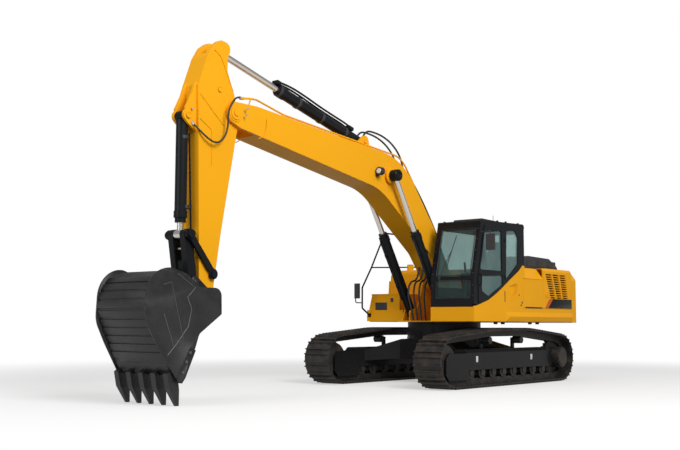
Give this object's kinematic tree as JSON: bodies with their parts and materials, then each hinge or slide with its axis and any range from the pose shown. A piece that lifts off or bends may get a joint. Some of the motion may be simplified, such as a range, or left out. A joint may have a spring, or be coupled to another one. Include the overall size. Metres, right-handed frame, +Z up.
{
  "type": "crawler excavator",
  "caption": "Crawler excavator on two tracks, with a slewing house and cab, a bent boom, an arm, and a toothed bucket worked by hydraulic cylinders.",
  "frame": {"origin": "on the ground, on the swing axis of the upper structure", "axes": "+X forward along the tracks and the boom, +Y to the cab's side (the operator's left), +Z up"},
  "size_m": [11.578, 3.407, 5.6131],
  "materials": {
    "black_paint": "satin",
    "black_plastic": "matte",
    "bucket_steel": "satin",
    "cab_glass": "tinted",
    "engine_iron": "cast",
    "radiator_alloy": "matte",
    "rod_chrome": "polished",
    "seat_cloth": "woven",
    "track_frame_paint": "satin",
    "track_steel": "worn",
    "yellow_paint": "gloss"
  },
  "bodies": {
    "undercarriage": {"car_body": "track_frame_paint", "swing_bearing": "black_paint", "track_frame_left": "track_frame_paint", "track_frame_right": "track_frame_paint", "track_left": "track_steel", "track_right": "track_steel", "drive_sprocket_left": "track_steel", "drive_sprocket_right": "track_steel", "idler_left": "track_steel", "idler_right": "track_steel", "track_rollers_left": "track_steel", "track_rollers_right": "track_steel"},
    "upper": {"main_deck": "yellow_paint", "left_skirt": "yellow_paint", "right_skirt": "yellow_paint", "counterweight": "yellow_paint", "house_frame": "yellow_paint", "cab_side_panel": "yellow_paint", "engine": "engine_iron", "radiator": "radiator_alloy", "fuel_tank": "yellow_paint", "hydraulic_tank": "yellow_paint", "right_side_panel": "yellow_paint", "tool_box": "yellow_paint", "right_handrail": "black_paint", "right_mirror": "black_plastic", "left_mirror": "black_plastic", "cab_floor": "black_paint", "cab_front_frame": "black_paint", "cab_left_frame": "black_paint", "cab_right_wall": "black_paint", "cab_rear_wall": "black_paint", "cab_roof": "black_paint", "cab_glass": "cab_glass", "operator_seat": "seat_cloth", "consoles": "black_plastic"},
    "left_door": {"left_service_door": "yellow_paint"},
    "grille": {"grille_door": "yellow_paint"},
    "right_door": {"pump_door": "yellow_paint"},
    "hood": {"engine_hood": "yellow_paint", "hood_cover": "black_plastic"},
    "lid": {"tool_box_lid": "yellow_paint"},
    "door": {"cab_door": "black_paint", "door_glass": "cab_glass"},
    "boom": {"boom": "yellow_paint", "boom_pipes": "yellow_paint", "boom_lamp": "black_plastic"},
    "boom_barrels": {"boom_barrels": "black_paint"},
    "boom_rods": {"boom_rods": "rod_chrome"},
    "arm_barrel": {"arm_barrel": "black_paint"},
    "arm_rod": {"arm_rod": "rod_chrome"},
    "arm": {"arm": "yellow_paint"},
    "bucket_barrel": {"bucket_barrel": "black_paint"},
    "bucket_rod": {"bucket_rod": "rod_chrome"},
    "guide_links": {"guide_links": "black_paint"},
    "h_link": {"h_link": "black_paint"},
    "bucket": {"bucket": "bucket_steel", "bucket_teeth": "bucket_steel"}
  },
  "joints": [
    {"name": "swing", "type": "hinge", "parent": "undercarriage", "child": "upper", "pos_m": [0, 0, 1.15], "axis": [0, 0, 1], "continuous": true},
    {"name": "boom_lift", "type": "hinge", "parent": "upper", "child": "boom", "pos_m": [0.18, 0, 1.98], "axis": [0, -1, 0], "range_deg": [-67, 38]},
    {"name": "boom_barrel_pivot", "type": "hinge", "parent": "upper", "child": "boom_barrels", "pos_m": [0.59, 0, 1.37], "axis": [0, -1, 0], "range_deg": [-64.82, 36.98]},
    {"name": "boom_rod_slide", "type": "slide", "parent": "boom_barrels", "child": "boom_rods", "axis": [0.5318, 0, 0.8469], "range_m": [-0.7534, 0.4295]},
    {"name": "arm_swing", "type": "hinge", "parent": "boom", "child": "arm", "pos_m": [6.24936, 0, 4.49029], "axis": [0, 1, 0], "range_deg": [-75, 42]},
    {"name": "arm_barrel_pivot", "type": "hinge", "parent": "boom", "child": "arm_barrel", "pos_m": [2.82492, 0, 4.53594], "axis": [0, 1, 0], "range_deg": [-3.5, 2.18]},
    {"name": "arm_rod_slide", "type": "slide", "parent": "arm_barrel", "child": "arm_rod", "axis": [0.9671, 0, 0.2545], "range_m": [-1.0653, 0.5988]},
    {"name": "bucket_curl", "type": "hinge", "parent": "arm", "child": "bucket", "pos_m": [6.71353, 0, 1.51933], "axis": [0, 1, 0], "range_deg": [-8, 150]},
    {"name": "guide_link_pivot", "type": "hinge", "parent": "arm", "child": "guide_links", "pos_m": [6.65642, 0, 1.91728], "axis": [0, 1, 0], "range_deg": [-5.62, 96.5]},
    {"name": "h_link_pivot", "type": "hinge", "parent": "bucket", "child": "h_link", "pos_m": [7.02853, 0, 1.78333], "axis": [0, -1, 0], "range_deg": [-5.78, 99.5]},
    {"name": "bucket_barrel_pivot", "type": "hinge", "parent": "arm", "child": "bucket_barrel", "pos_m": [7.14073, 0, 4.32389], "axis": [0, -1, 0], "range_deg": [-0.74, 5]},
    {"name": "bucket_rod_slide", "type": "slide", "parent": "bucket_barrel", "child": "bucket_rod", "axis": [-0.0001, 0, -1], "range_m": [-0.0657, 1.1438]},
    {"name": "cab_door_hinge", "type": "hinge", "parent": "upper", "child": "door", "pos_m": [0.072, 1.4823, 2.3], "axis": [0, 0, 1], "range_deg": [0, 170]},
    {"name": "service_door_hinge", "type": "hinge", "parent": "upper", "child": "left_door", "pos_m": [-1.502, 1.47, 1.76], "axis": [0, 0, 1], "range_deg": [0, 100]},
    {"name": "grille_door_hinge", "type": "hinge", "parent": "upper", "child": "grille", "pos_m": [-2.754, 1.47, 1.76], "axis": [0, 0, 1], "range_deg": [0, 100]},
    {"name": "pump_door_hinge", "type": "hinge", "parent": "upper", "child": "right_door", "pos_m": [-2.754, -1.47, 1.76], "axis": [0, 0, -1], "range_deg": [0, 100]},
    {"name": "hood_hinge", "type": "hinge", "parent": "upper", "child": "hood", "pos_m": [-2.754, 0, 2.32], "axis": [0, -1, 0], "range_deg": [0, 60]},
    {"name": "tool_lid_hinge", "type": "hinge", "parent": "upper", "child": "lid", "pos_m": [-0.048, -1.045, 1.7853], "axis": [0, -1, 0], "range_deg": [0, 80]}
  ],
  "couplings": [
    {"joint": "boom_barrel_pivot", "follows": "boom_lift", "ratio": 0.96},
    {"joint": "boom_rod_slide", "follows": "boom_lift", "m_per_rad": 0.64},
    {"joint": "arm_barrel_pivot", "follows": "arm_swing", "ratio": 0.04},
    {"joint": "arm_rod_slide", "follows": "arm_swing", "m_per_rad": 0.81},
    {"joint": "guide_link_pivot", "follows": "bucket_curl", "ratio": 0.64},
    {"joint": "h_link_pivot", "follows": "bucket_curl", "ratio": 0.66},
    {"joint": "bucket_barrel_pivot", "follows": "bucket_curl", "ratio": 0.03},
    {"joint": "bucket_rod_slide", "follows": "bucket_curl", "m_per_rad": 0.435}
  ]
}
